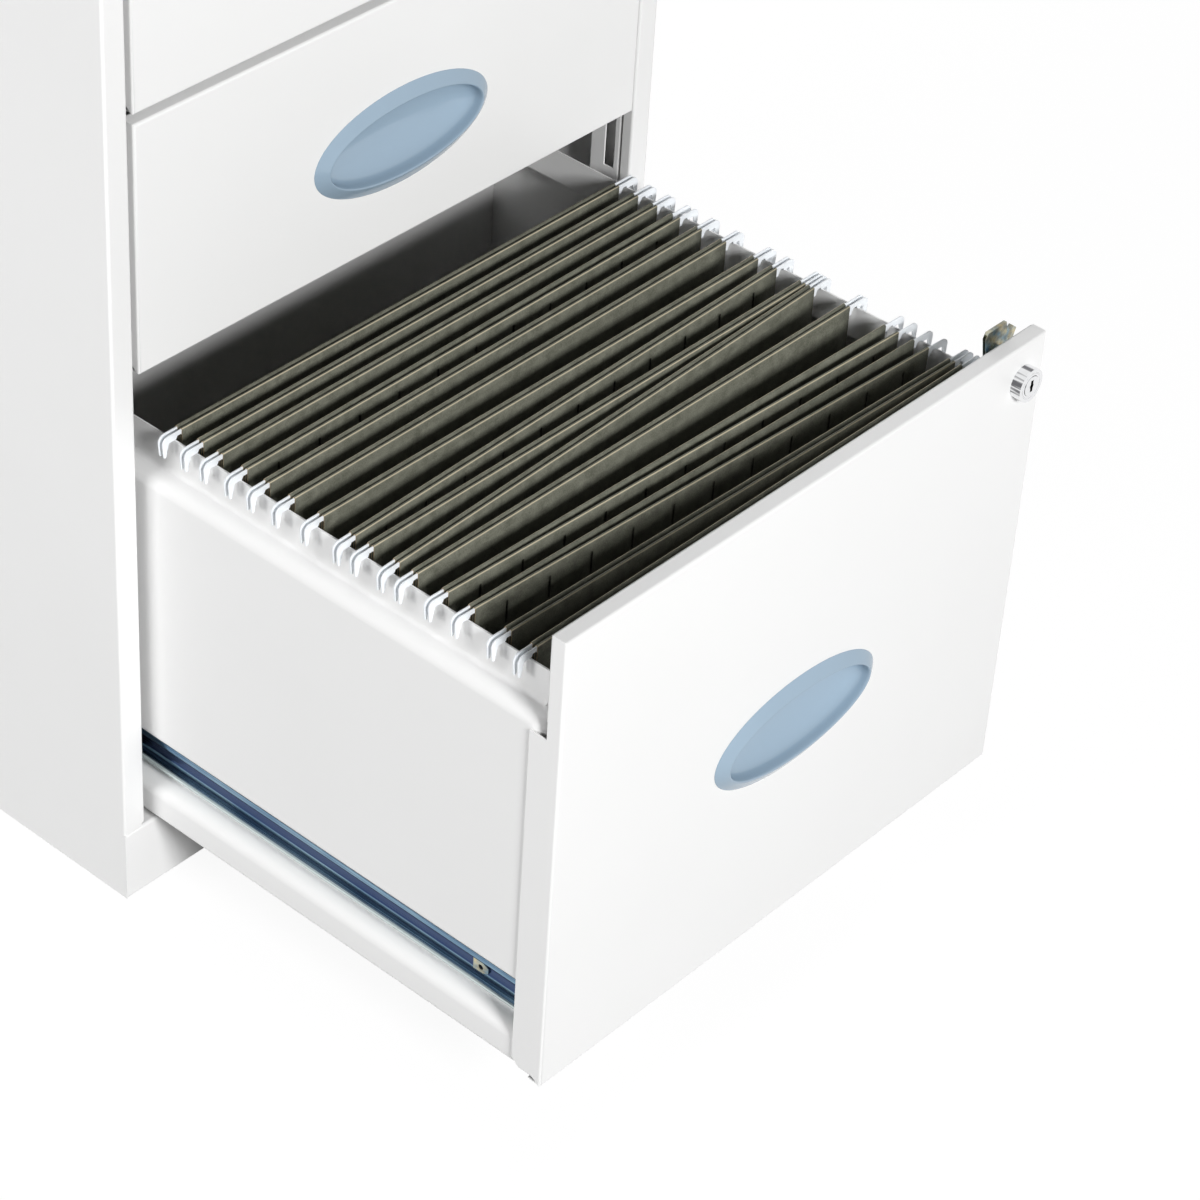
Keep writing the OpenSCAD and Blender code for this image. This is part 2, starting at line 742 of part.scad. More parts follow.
// Hooked plate that the plug swings through the slot in the upright
module lock_latch() {
    top = latch_reach;
    notch = 7;
    horn = latch_tooth + 1;
    color(passivate) in_file() difference() {
        along_y(latch_y, latch_y + latch_t) translate([lock_x, lock_z]) {
            circle(r = latch_boss);
            polygon([
                [-latch_boss, 0], [latch_boss, 0], [horn - 2, top - 14], [horn, top - 9],
                [notch + 4, top - 5], [notch, top - 8], [notch - 2, top], [2 - latch_tooth, top],
                [-latch_tooth, top - 4]
            ]);
        }
        on_lock(latch_y - eps, latch_y + latch_t + eps, screw_d + barrel_clear);
    }
}

module latch_screw() {
    color(zinc) in_file() {
        on_lock(latch_y, latch_y + latch_t + eps, screw_d);
        on_lock(latch_y + latch_t, latch_y + latch_t + screw_head_t, screw_head_d);
    }
}

// Hanging files

// Place of a file along the drawer: the files bunch up in groups, with a small uneven step
function file_y(k) =
    body_y + file_first + file_pitch * k + sin(131 * k) - bunch * (1 - cos(360 * k / bunch_files));

// Flat bar with a notch over the rail and a down-turned nose at each end
module bar() {
    end = rail_out + hook_reach;
    tab = rail_in - hook_slot;
    top = rail_top + bar_above;
    tip = rail_top - hook_drop + hook_nose / 2;
    arc = [for (k = [0 : 2 * bend_steps]) 90 * k / bend_steps];
    turn = [for (k = [0 : bend_steps]) 90 * k / bend_steps];
    half = concat(
        [[tab, top - bar_h], [tab, rail_top - 1], [tab + 1.5, rail_top + hook_notch]],
        [[rail_in - 1.4, rail_top + hook_notch], [rail_in - 0.6, rail_top], [end - hook_nose, rail_top]],
        [for (a = arc) [end - hook_nose / 2 * (1 + cos(a)), tip - hook_nose / 2 * sin(a)]],
        [for (a = turn) [end - hook_nose * (1 - cos(a)), top - hook_nose * (1 - sin(a))]]
    );
    along_y(-bar_t / 2, bar_t / 2)
        polygon(concat(half, [for (k = [len(half) - 1 : -1 : 0]) [-half[k][0], half[k][1]]]));
}

module file_bars() {
    color(bar_white) in_file()
        for (k = [0 : file_count - 1], side = [-1, 1])
            translate([0, file_y(k) + side * bar_spread / 2, 0]) bar();
}

// Card folder, hemmed over its two bars and folded at the bottom
module folder() {
    hem = bar_t / 2 + hem_clear + card / 2;
    outer = bar_spread / 2 + hem;
    inner = bar_spread / 2 - hem;
    crest = rail_top + bar_above + hem_clear + card / 2;
    foot = rail_top - folder_drop;
    along_x(-folder_w / 2, folder_w / 2)
        bent([
            [inner, crest - hem_drop], [inner, crest], [outer, crest], [fold_w / 2, foot],
            [-fold_w / 2, foot], [-outer, crest], [-inner, crest], [-inner, crest - hem_drop]
        ], card, card);
}

module file_folders() {
    color(card_green) in_file()
        for (k = [0 : file_count - 1]) translate([0, file_y(k), 0]) folder();
}

left_side_panel();
right_side_panel();
back_panel();
top_cap();
base_pan();
front_left_upright();
front_right_upright();
rear_left_upright();
rear_right_upright();
file_left_cabinet_runner();
file_right_cabinet_runner();
middle_left_cabinet_runner();
middle_right_cabinet_runner();
top_left_cabinet_runner();
top_right_cabinet_runner();
file_left_ball_cage();
file_right_ball_cage();
middle_left_ball_cage();
middle_right_ball_cage();
top_left_ball_cage();
top_right_ball_cage();
file_left_drawer_runner();
file_right_drawer_runner();
middle_left_drawer_runner();
middle_right_drawer_runner();
top_left_drawer_runner();
top_right_drawer_runner();
file_runner_clips();
middle_runner_clips();
top_runner_clips();
file_front();
file_inner_front();
file_left_side();
file_right_side();
file_back();
file_bottom();
file_handle();
middle_front();
middle_inner_front();
middle_left_side();
middle_right_side();
middle_back();
middle_bottom();
middle_handle();
top_front();
top_inner_front();
top_left_side();
top_right_side();
top_back();
top_bottom();
top_handle();
lock_housing();
lock_nut();
lock_plug();
lock_latch();
latch_screw();
file_bars();
file_folders();
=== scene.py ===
import json
import math
import random

import bmesh
import bpy
from mathutils import Matrix, Vector


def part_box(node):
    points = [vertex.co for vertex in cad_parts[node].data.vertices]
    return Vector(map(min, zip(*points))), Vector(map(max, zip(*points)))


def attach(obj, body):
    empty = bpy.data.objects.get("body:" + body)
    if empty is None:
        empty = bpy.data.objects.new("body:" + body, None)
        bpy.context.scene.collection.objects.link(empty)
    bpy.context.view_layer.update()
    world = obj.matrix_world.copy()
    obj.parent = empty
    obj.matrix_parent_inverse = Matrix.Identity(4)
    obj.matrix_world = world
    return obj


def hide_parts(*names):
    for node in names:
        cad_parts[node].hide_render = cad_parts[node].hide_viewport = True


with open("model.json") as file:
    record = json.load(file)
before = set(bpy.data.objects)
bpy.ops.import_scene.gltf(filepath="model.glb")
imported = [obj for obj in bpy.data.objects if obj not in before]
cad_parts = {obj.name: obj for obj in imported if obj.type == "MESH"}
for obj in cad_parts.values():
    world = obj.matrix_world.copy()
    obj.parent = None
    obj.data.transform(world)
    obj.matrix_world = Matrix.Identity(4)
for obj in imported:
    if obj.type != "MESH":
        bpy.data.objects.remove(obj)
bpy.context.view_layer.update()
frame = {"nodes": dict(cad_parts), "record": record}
record = frame["record"]
bodyOf = {node: body for body, nodes in record["behaviour"]["bodies"].items() for node in nodes}
slotOf = {part["node"]: part["material_slot"] for part in record["subparts"]}


# Node wiring, for shaders and for geometry

def wiring(tree):
    def add(kind, inputs=(), **settings):
        node = tree.nodes.new(kind)
        for key, value in settings.items():
            setattr(node, key, value)
        for key, value in dict(inputs).items():
            if isinstance(value, bpy.types.NodeSocket):
                tree.links.new(value, node.inputs[key])
            else:
                node.inputs[key].default_value = value
        return node
    return add


def newGroup(name, kind, inputs, outputs):
    tree = bpy.data.node_groups.new(name, kind)
    for label, socketType in inputs:
        tree.interface.new_socket(label, in_out="INPUT", socket_type=socketType)
    for label, socketType in outputs:
        tree.interface.new_socket(label, in_out="OUTPUT", socket_type=socketType)
    add = wiring(tree)
    return tree, add, add("NodeGroupInput").outputs, add("NodeGroupOutput")


def newMaterial(name):
    material = bpy.data.materials.new(name)
    material.use_nodes = True
    material.node_tree.nodes.clear()
    return material, wiring(material.node_tree)


def objectPlace(add):
    return add("ShaderNodeTexCoord").outputs["Object"]


def shade(material, add, inputs, height, bump, depth=0.0002):
    relief = add("ShaderNodeBump", {"Height": height, "Strength": bump, "Distance": depth})
    shader = add("ShaderNodeBsdfPrincipled", {**inputs, "Normal": relief.outputs["Normal"]})
    add("ShaderNodeOutputMaterial", {"Surface": shader.outputs["BSDF"]})
    return material


# Inputs 6 and 7 of the mix node are its two colors, and output 2 is the mixed one
def mixColors(add, share, first, second):
    mix = add("ShaderNodeMix", {"Factor": share}, data_type="RGBA")
    for socket, value in ((mix.inputs[6], first), (mix.inputs[7], second)):
        if isinstance(value, bpy.types.NodeSocket):
            mix.id_data.links.new(value, socket)
        else:
            socket.default_value = (*value, 1)
    return mix.outputs[2]


def remap(add, value, low, high, fromLow=0.3, fromHigh=0.7):
    return add("ShaderNodeMapRange", {
        "Value": value, "From Min": fromLow, "From Max": fromHigh, "To Min": low, "To Max": high,
    }).outputs["Result"]


# Shared effects

# Fine peel of a sprayed or moulded surface, with a broad unevenness
def makePeel():
    tree, add, given, out = newGroup("surfacePeel", "ShaderNodeTree", (
        ("Vector", "NodeSocketVector"),
        ("Peel Scale", "NodeSocketFloat"),
        ("Cloud Scale", "NodeSocketFloat"),
    ), (("Cloud", "NodeSocketFloat"), ("Height", "NodeSocketFloat")))
    place = given["Vector"]
    cloud = add("ShaderNodeTexNoise", {"Vector": place, "Scale": given["Cloud Scale"], "Detail": 3})
    peel = add("ShaderNodeTexNoise", {"Vector": place, "Scale": given["Peel Scale"], "Detail": 2})
    tree.links.new(cloud.outputs["Fac"], out.inputs["Cloud"])
    tree.links.new(peel.outputs["Fac"], out.inputs["Height"])
    return tree


# Long fine lines of rolled or polished metal, with cloudy patches of the plating's tint
def makeRolled():
    tree, add, given, out = newGroup("rolledMetal", "ShaderNodeTree", (
        ("Vector", "NodeSocketVector"),
        ("Stretch", "NodeSocketVector"),
        ("Tint Scale", "NodeSocketFloat"),
    ), (("Line", "NodeSocketFloat"), ("Tint", "NodeSocketFloat")))
    place = given["Vector"]
    long = add("ShaderNodeVectorMath", {0: place, 1: given["Stretch"]}, operation="MULTIPLY")
    line = add("ShaderNodeTexNoise", {"Vector": long.outputs["Vector"], "Scale": 1.0, "Detail": 4})
    tint = add("ShaderNodeTexNoise", {"Vector": place, "Scale": given["Tint Scale"], "Detail": 2})
    tree.links.new(line.outputs["Fac"], out.inputs["Line"])
    tree.links.new(tint.outputs["Fac"], out.inputs["Tint"])
    return tree


peelGroup = makePeel()
rolledGroup = makeRolled()


# Finishes

# Sprayed coats and moulded plastic: two near tones in clouds, under a fine peel
coatLook = {
    "whitePowderCoat": {
        "pale": (0.87, 0.87, 0.868), "deep": (0.85, 0.85, 0.846), "peel": 620, "cloud": 9,
        "roughBy": "Cloud", "rough": (0.34, 0.44), "bump": 0.10,
    },
    "bluePlastic": {
        "pale": (0.308, 0.408, 0.505), "deep": (0.290, 0.388, 0.482), "peel": 420, "cloud": 14,
        "roughBy": "Height", "rough": (0.10, 0.16), "bump": 0.03,
    },
    "whiteBarCoat": {
        "pale": (0.86, 0.89, 0.92), "deep": (0.80, 0.83, 0.86), "peel": 800, "cloud": 60,
        "roughBy": "Cloud", "rough": (0.28, 0.40), "bump": 0.12,
    },
}


def peeledCoat(name):
    look = coatLook[name]
    material, add = newMaterial(name)
    peel = add("ShaderNodeGroup", {
        "Vector": objectPlace(add), "Peel Scale": look["peel"], "Cloud Scale": look["cloud"],
    }, node_tree=peelGroup).outputs
    color = mixColors(add, peel["Cloud"], look["pale"], look["deep"])
    rough = remap(add, peel[look["roughBy"]], *look["rough"])
    return shade(material, add, {"Base Color": color, "Roughness": rough}, peel["Height"], look["bump"])


# Rolled and plated metals: tints of the plating in patches and lines
# A piece asks for painted shade in the deep colour by an attribute, lighter at the runner's beads, and for a
# painted pale highlight by "rim";
# the lock's chrome gets painted dark reflections in lines on what doesn't face along Y
platingLook = {
    "zinc": {
        "first": (0.13, 0.24, 0.36), "second": (0.30, 0.44, 0.54), "deep": (0.030, 0.050, 0.13),
        "rim": (0.72, 0.80, 0.76), "stretch": (1500, 6, 1500), "tint": 26, "lines": 0.55,
        "lineSpan": (0.42, 0.62), "rough": (0.14, 0.30), "bump": 0.01,
    },
    "yellowZinc": {
        "first": (0.66, 0.55, 0.31), "second": (0.20, 0.33, 0.42), "deep": (0.10, 0.09, 0.07),
        "stretch": (260, 60, 260), "tint": 150, "lines": 0.55,
        "lineSpan": (0.42, 0.62), "rough": (0.12, 0.26), "bump": 0.05,
    },
    "chrome": {
        "first": (0.86, 0.86, 0.87), "second": (0.80, 0.81, 0.82), "deep": (0.16, 0.16, 0.17),
        "stretch": (260, 12, 260), "tint": 90, "lines": 0.0, "lineSpan": (0.42, 0.62),
        "reflectionSideSpan": (0.1, 0.6), "darkReflectionSpan": (0.50, 0.58), "rough": (0.06, 0.13), "bump": 0.02,
    },
}


def platedMetal(kind):
    look = platingLook[kind]
    material, add = newMaterial(kind + "Plating")
    rolled = add("ShaderNodeGroup", {
        "Vector": objectPlace(add), "Stretch": look["stretch"], "Tint Scale": look["tint"],
    }, node_tree=rolledGroup).outputs
    color = mixColors(add, remap(add, rolled["Tint"], 0, 1), look["first"], look["second"])
    streak = remap(add, rolled["Line"], 0, look["lines"], *look["lineSpan"])
    color = mixColors(add, streak, color, look["deep"])
    # The chrome's deep lines are painted dark reflections, on surfaces that don't face along Y
    if "reflectionSideSpan" in look:
        facing = add("ShaderNodeSeparateXYZ", {"Vector": add("ShaderNodeNewGeometry").outputs["Normal"]})
        turned = add("ShaderNodeMath", {0: facing.outputs["Y"]}, operation="ABSOLUTE")
        side = remap(add, turned.outputs["Value"], 1, 0, *look["reflectionSideSpan"])
        dark = remap(add, rolled["Line"], 0, 1, *look["darkReflectionSpan"])
        paintedDark = add("ShaderNodeMath", {0: side, 1: dark}, operation="MULTIPLY").outputs["Value"]
    else:
        # Painted shade in the deep colour where an attribute asks for it
        paintedDark = add("ShaderNodeAttribute", attribute_name="paintedDark").outputs["Fac"]
    color = mixColors(add, paintedDark, color, look["deep"])
    metallic = 1.0
    # A painted pale, less metallic highlight where the rim attribute asks for it
    if "rim" in look:
        rim = add("ShaderNodeAttribute", attribute_name="rim").outputs["Fac"]
        color = mixColors(add, rim, color, look["rim"])
        metallic = add("ShaderNodeMath", {0: 1.0, 1: rim}, operation="SUBTRACT").outputs["Value"]
    rough = remap(add, rolled["Line"], *look["rough"])
    return shade(material, add, {"Base Color": color, "Roughness": rough, "Metallic": metallic},
                 rolled["Line"], look["bump"])


# Flecked card with pale worn creases; its cut edges show the bare core, and those inside the slits get a
# near-black painted shade
cardLook = {
    "dark": (0.098, 0.100, 0.078), "light": (0.185, 0.187, 0.150), "crease": (0.57, 0.50, 0.36),
    "fleck": 1100, "mottle": 130, "toneSpan": (0.72, 1.28), "rough": (0.72, 0.86), "sheen": 0.3, "bump": 0.35,
    "cutDark": (0.30, 0.21, 0.12), "cutLight": (0.50, 0.38, 0.24), "slitShade": (0.020, 0.017, 0.012),
    "cutRough": (0.80, 0.92), "cutBump": 0.3, "cutDepth": 0.0003,
}


def foldedCard():
    look = cardLook
    material, add = newMaterial("oliveCard")
    place = objectPlace(add)
    fleck = add("ShaderNodeTexNoise", {"Vector": place, "Scale": look["fleck"], "Detail": 4}).outputs["Fac"]
    mottle = add("ShaderNodeTexNoise", {"Vector": place, "Scale": look["mottle"], "Detail": 3}).outputs["Fac"]
    both = add("ShaderNodeMath", {0: fleck, 1: mottle}, operation="ADD").outputs["Value"]
    face = mixColors(add, remap(add, both, 0, 1, *look["toneSpan"]), look["dark"], look["light"])
    crease = add("ShaderNodeAttribute", attribute_name="crease").outputs["Fac"]
    color = mixColors(add, crease, face, look["crease"])
    rough = remap(add, mottle, *look["rough"])
    return shade(material, add, {
        "Base Color": color, "Roughness": rough, "Specular IOR Level": look["sheen"],
    }, fleck, look["bump"])


def cutCard():
    look = cardLook
    material, add = newMaterial("cutCard")
    fleck = add("ShaderNodeTexNoise", {
        "Vector": objectPlace(add), "Scale": look["fleck"], "Detail": 4,
    }).outputs["Fac"]
    color = mixColors(add, remap(add, fleck, 0, 1), look["cutDark"], look["cutLight"])
    # Painted shade: the cut edges inside the slits are near black
    slitShade = add("ShaderNodeAttribute", attribute_name="slitShade").outputs["Fac"]
    color = mixColors(add, slitShade, color, look["slitShade"])
    rough = remap(add, fleck, *look["cutRough"])
    return shade(material, add, {"Base Color": color, "Roughness": rough},
                 fleck, look["cutBump"], look["cutDepth"])


finishes = {
    "white_steel": peeledCoat("whitePowderCoat"),
    "zinc_steel": platedMetal("zinc"),
    "yellow_zinc": platedMetal("yellowZinc"),
    "lock_chrome": platedMetal("chrome"),
    "blue_plastic": peeledCoat("bluePlastic"),
    "folder_card": foldedCard(),
    "bar_steel": peeledCoat("whiteBarCoat"),
}
print("finishes made:", len(finishes))


# Pieces

def toObject(name, bm, finish):
    mesh = bpy.data.meshes.new(name)
    bm.to_mesh(mesh)
    bm.free()
    mesh.materials.append(finish)
    piece = bpy.data.objects.new(name, mesh)
    bpy.context.scene.collection.objects.link(piece)
    return piece


# Turns pieces with live modifiers into plain meshes
def settle(*pieces):
    graph = bpy.context.evaluated_depsgraph_get()
    made = [bpy.data.meshes.new_from_object(piece.evaluated_get(graph)) for piece in pieces]
    for piece, mesh in zip(pieces, made):
        old = piece.data
        piece.modifiers.clear()
        piece.data = mesh
        bpy.data.meshes.remove(old)
    return pieces[0]


# Broken edges: their width for each finish; sharp and flat are angles in degrees
edgeLook = {
    "white_steel": 0.0003, "zinc_steel": 0.0002, "yellow_zinc": 0.0003, "lock_chrome": 0.0004,
    "sharp": 38, "segments": 2, "flatWeight": 80, "merge": 0.00002, "flat": 0.6,
}


def breakEdges(piece, width):
    bevel = piece.modifiers.new("brokenEdge", "BEVEL")
    bevel.width = width
    bevel.segments = edgeLook["segments"]
    bevel.limit_method = "ANGLE"
    bevel.angle_limit = math.radians(edgeLook["sharp"])
    weigh = piece.modifiers.new("flatFaces", "WEIGHTED_NORMAL")
    weigh.weight = edgeLook["flatWeight"]
    weigh.keep_sharp = True


def markSharp(bm):
    limit = math.radians(edgeLook["sharp"])
    for face in bm.faces:
        face.smooth = True
    for edge in bm.edges:
        edge.smooth = len(edge.link_faces) == 2 and edge.calc_face_angle(0) < limit


def seat(piece, *nodes):
    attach(piece, bodyOf[nodes[0]])
    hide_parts(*nodes)


# Folded and turned metal: the node's own shape with its edges broken and its bends smooth
def finishMetal(node):
    bm = bmesh.new()
    bm.from_mesh(frame["nodes"][node].data)
    bmesh.ops.remove_doubles(bm, verts=bm.verts, dist=edgeLook["merge"])
    bmesh.ops.dissolve_limit(bm, angle_limit=math.radians(edgeLook["flat"]), verts=bm.verts, edges=bm.edges)
    markSharp(bm)
    piece = toObject(node + "_finished", bm, finishes[slotOf[node]])
    breakEdges(piece, edgeLook[slotOf[node]])
    return piece


ownPieces = ("handle", "file_folders", "file_bars", "drawer_runner", "runner_clips")
metalNodes = [node for node in sorted(frame["nodes"]) if not node.endswith(ownPieces)]
metalPieces = [finishMetal(node) for node in metalNodes]
settle(*metalPieces)
for piece, node in zip(metalPieces, metalNodes):
    seat(piece, node)
print("metal finished:", len(metalNodes))


# Oval handles: a cup with a swelling rim, lofted through rings
# Each ring is (inset from the outline, share of what is left, depth, extra depth at the top)
handleShape = {"rimWidth": 0.009, "rimHeight": 0.005, "depth": 0.014, "wall": 0.0016, "around": 80,
               "bowlIn": 0.0015, "lipLow": 0.0009, "lipHigh": 0.0005, "lipRound": 0.0006}


def handleRings(shape):
    w, rim, deep, wall = shape["rimWidth"], shape["rimHeight"], shape["depth"], shape["wall"]
    inner = w + shape["bowlIn"]
    lip = shape["lipRound"]
    return [
        (inner, 0.06, deep * 0.96, deep * 0.01), (inner, 0.25, deep * 0.93, deep * 0.03),
        (inner, 0.50, deep * 0.84, deep * 0.08), (inner, 0.72, deep * 0.69, deep * 0.12),
        (inner, 0.88, deep * 0.50, deep * 0.12), (inner, 1, deep * 0.22, deep * 0.05),
        (w + shape["lipLow"], 1, -rim * 0.20, 0), (w + shape["lipHigh"], 1, -rim * 0.74, 0),
        (w, 1, -rim * 0.96, 0), (w - lip, 1, -rim, 0),
        (w * 0.82, 1, -rim * 0.90, 0), (w * 0.58, 1, -rim * 0.66, 0),
        (w * 0.30, 1, -rim * 0.36, 0), (w * 0.09, 1, -rim * 0.12, 0), (w * 0.01, 1, -rim * 0.03, 0),
        (0, 1, 0, 0), (w * 0.1, 1, 0, 0), (w * 0.7, 1, 0, 0),
        (w - lip, 1, deep * 0.12, deep * 0.03), (w + lip, 1, deep * 0.30 + wall / 2, deep * 0.08),
        (inner, 0.90, deep * 0.50 + wall, deep * 0.12),
        (inner, 0.73, deep * 0.69 + wall, deep * 0.12), (inner, 0.50, deep * 0.84 + wall, deep * 0.08),
        (inner, 0.25, deep * 0.93 + wall, deep * 0.03), (inner, 0.06, deep * 0.95 + wall, deep * 0.01),
    ]


def loft(bm, rings):
    rows = [[bm.verts.new(point) for point in ring] for ring in rings]
    for lower, upper in zip(rows, rows[1:]):
        count = len(lower)
        for k in range(count):
            bm.faces.new((lower[k], lower[(k + 1) % count], upper[(k + 1) % count], upper[k]))
    bm.faces.new(reversed(rows[0]))
    bm.faces.new(rows[-1])


def makeHandle(node):
    low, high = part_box(node)
    middle = (low + high) / 2
    front = low.y + handleShape["rimHeight"]
    halfWidth = (high.x - low.x) / 2
    halfHeight = (high.z - low.z) / 2
    rings = []
    for inset, share, depth, extra in handleRings(handleShape):
        ring = []
        for k in range(handleShape["around"]):
            a = 2 * math.pi * k / handleShape["around"]
            ring.append((middle.x + (halfWidth - inset) * share * math.cos(a),
                         front + depth + extra * math.sin(a),
                         middle.z + (halfHeight - inset) * share * math.sin(a)))
        rings.append(ring)
    bm = bmesh.new()
    loft(bm, rings)
    bmesh.ops.recalc_face_normals(bm, faces=bm.faces)
    for face in bm.faces:
        face.smooth = True
    piece = toObject(node + "_cup", bm, finishes["blue_plastic"])
    smooth = piece.modifiers.new("smoothCup", "SUBSURF")
    smooth.levels = smooth.render_levels = 1
    seat(settle(piece), node)


for node in ("file_handle", "middle_handle", "top_handle"):
    makeHandle(node)
print("handles made")


# Runners: a rolled section with beads, drawn out along the drawer
# The last three values paint shade on the web, less of it on the beads, and a pale highlight on the lower lip
runnerLook = {"thick": 0.0012, "lip": 0.0025, "bend": 0.0010, "bead": 0.0006, "beadWidth": 0.0024, "arc": 4,
              "beadPlace": 0.42, "beadReach": 0.12, "webPaintedShade": 0.90, "beadPaintedShade": 0.25, "rimTone": 0.8}


# Middle line of a sheet with its corners rounded, as (place, direction) pairs
def rounded(path, radius, steps):
    stations = []
    count = len(path)
    for i, here in enumerate(path):
        if i in (0, count - 1):
            way = (path[1] - here) if i == 0 else (here - path[i - 1])
            stations.append((here, way.normalized()))
            continue
        before = (here - path[i - 1]).normalized()
        after = (path[i + 1] - here).normalized()
        turn = before.angle_signed(after)
        start = here - before * radius * math.tan(abs(turn) / 2)
        side = Vector((before.y, -before.x)) * (1 if turn > 0 else -1)
        centre = start + side * radius
        for k in range(steps + 1):
            spin = Matrix.Rotation(-turn * k / steps, 2)
            stations.append((centre + spin @ (start - centre), spin @ before))
    return stations


def sheetOutline(path, radius, thick, steps):
    stations = rounded([Vector(p) for p in path], radius, steps)
    left = [p + Vector((-d.y, d.x)) * thick / 2 for p, d in stations]
    right = [p - Vector((-d.y, d.x)) * thick / 2 for p, d in stations]
    return left + right[::-1]


# Draws an outline in X and Z out along Y
def drawOut(bm, outline, y0, y1):
    ends = [[bm.verts.new((x, y, z)) for x, z in outline] for y in (y0, y1)]
    count = len(outline)
    for k in range(count):
        bm.faces.new((ends[0][k], ends[0][(k + 1) % count], ends[1][(k + 1) % count], ends[1][k]))
    bm.faces.new(reversed(ends[0]))
    bm.faces.new(ends[1])


def runTree(piece, tree, values):
    modifier = piece.modifiers.new(tree.name, "NODES")
    modifier.node_group = tree
    for item in tree.interface.items_tree:
        if item.item_type == "SOCKET" and item.in_out == "INPUT" and item.name in values:
            modifier[item.identifier] = values[item.name]
    return settle(piece)


def makeRunner(node):
    look = runnerLook
    low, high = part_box(node)
    side = 1 if low.x > 0 else -1
    half = look["thick"] / 2
    web = (low.x if side > 0 else -high.x) + half
    tip = (high.x if side > 0 else -low.x) - half
    top = high.z - half
    bottom = low.z + half
    middle = (top + bottom) / 2
    reach = (top - bottom) / 2
    bead = look["beadWidth"] / 2
    path = [(tip, top - look["lip"]), (tip, top), (web, top)]
    for level in (look["beadPlace"], -look["beadPlace"]):
        z = middle + reach * level
        path += [(web, z + 2 * bead), (web + look["bead"], z + bead), (web + look["bead"], z - bead),
                 (web, z - 2 * bead)]
    path += [(web, bottom), (tip, bottom), (tip, bottom + look["lip"])]
    path = [(side * x, z) for x, z in path]
    bm = bmesh.new()
    drawOut(bm, sheetOutline(path, look["bend"], look["thick"], look["arc"]), low.y, high.y)
    bmesh.ops.recalc_face_normals(bm, faces=bm.faces)
    markSharp(bm)
    paintedDarkLayer = bm.verts.layers.float.new("paintedDark")
    lipHighlightLayer = bm.verts.layers.float.new("rim")
    # Painted shade on the web, less on the beads, and a painted pale highlight on the lower lip
    for vert in bm.verts:
        onWeb = abs(vert.co.x) < web + look["thick"] and abs(vert.co.z - middle) < reach - 2 * look["thick"]
        onBead = abs(abs(vert.co.z - middle) / reach - look["beadPlace"]) < look["beadReach"]
        vert[paintedDarkLayer] = (look["beadPaintedShade"] if onBead else look["webPaintedShade"]) if onWeb else 0
        onLip = vert.co.z < bottom + look["lip"] + half and abs(vert.co.x) > web + look["thick"]
        vert[lipHighlightLayer] = look["rimTone"] if onLip else 0
    rail = toObject(node + "_rail", bm, finishes["zinc_steel"])
    seat(rail, node)


for node in sorted(frame["nodes"]):
    if node.endswith("drawer_runner"):
        makeRunner(node)
print("runners made")


# Runner clips: a stamped plate at each side, with a pointed front end and a hole
clipLook = {"point": 0.004, "hole": 0.0034, "around": 24, "edge": 0.0003}


def makeClips(node):
    look = clipLook
    low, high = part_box(node)
    middle = (low + high) / 2
    bm = bmesh.new()
    for side in (-1, 1):
        xs = sorted(v.co.x for v in frame["nodes"][node].data.vertices if v.co.x * side > 0)
        outline = [(low.y + look["point"], low.z), (high.y, low.z), (high.y, high.z),
                   (low.y + look["point"], high.z), (low.y, middle.z + look["point"] / 2),
                   (low.y, middle.z - look["point"] / 2)]
        bore = [(middle.y + look["hole"] / 2 * math.cos(2 * math.pi * k / look["around"]),
                 middle.z + look["hole"] / 2 * math.sin(2 * math.pi * k / look["around"]))
                for k in range(look["around"])]
        front = xs[-1] if side > 0 else xs[0]
        back = xs[0] if side > 0 else xs[-1]
        for loop in (outline, bore):
            ring = [bm.verts.new((back, y, z)) for y, z in loop]
            for k in range(len(ring)):
                bm.edges.new((ring[k], ring[(k + 1) % len(ring)]))
        loose = [e for e in bm.edges if not e.link_faces]
        fill = bmesh.ops.triangle_fill(bm, use_beauty=True, use_dissolve=False, edges=loose)
        faces = [f for f in fill["geom"] if isinstance(f, bmesh.types.BMFace)]
        swept = bmesh.ops.extrude_face_region(bm, geom=faces)
        bmesh.ops.translate(bm, vec=(front - back, 0, 0),
                            verts=[v for v in swept["geom"] if isinstance(v, bmesh.types.BMVert)])
    bmesh.ops.recalc_face_normals(bm, faces=bm.faces)
    markSharp(bm)
    piece = toObject(node + "_plates", bm, finishes["yellow_zinc"])
    breakEdges(piece, look["edge"])
    seat(settle(piece), node)


for node in ("file_runner_clips", "middle_runner_clips", "top_runner_clips"):
    makeClips(node)
print("clips made")


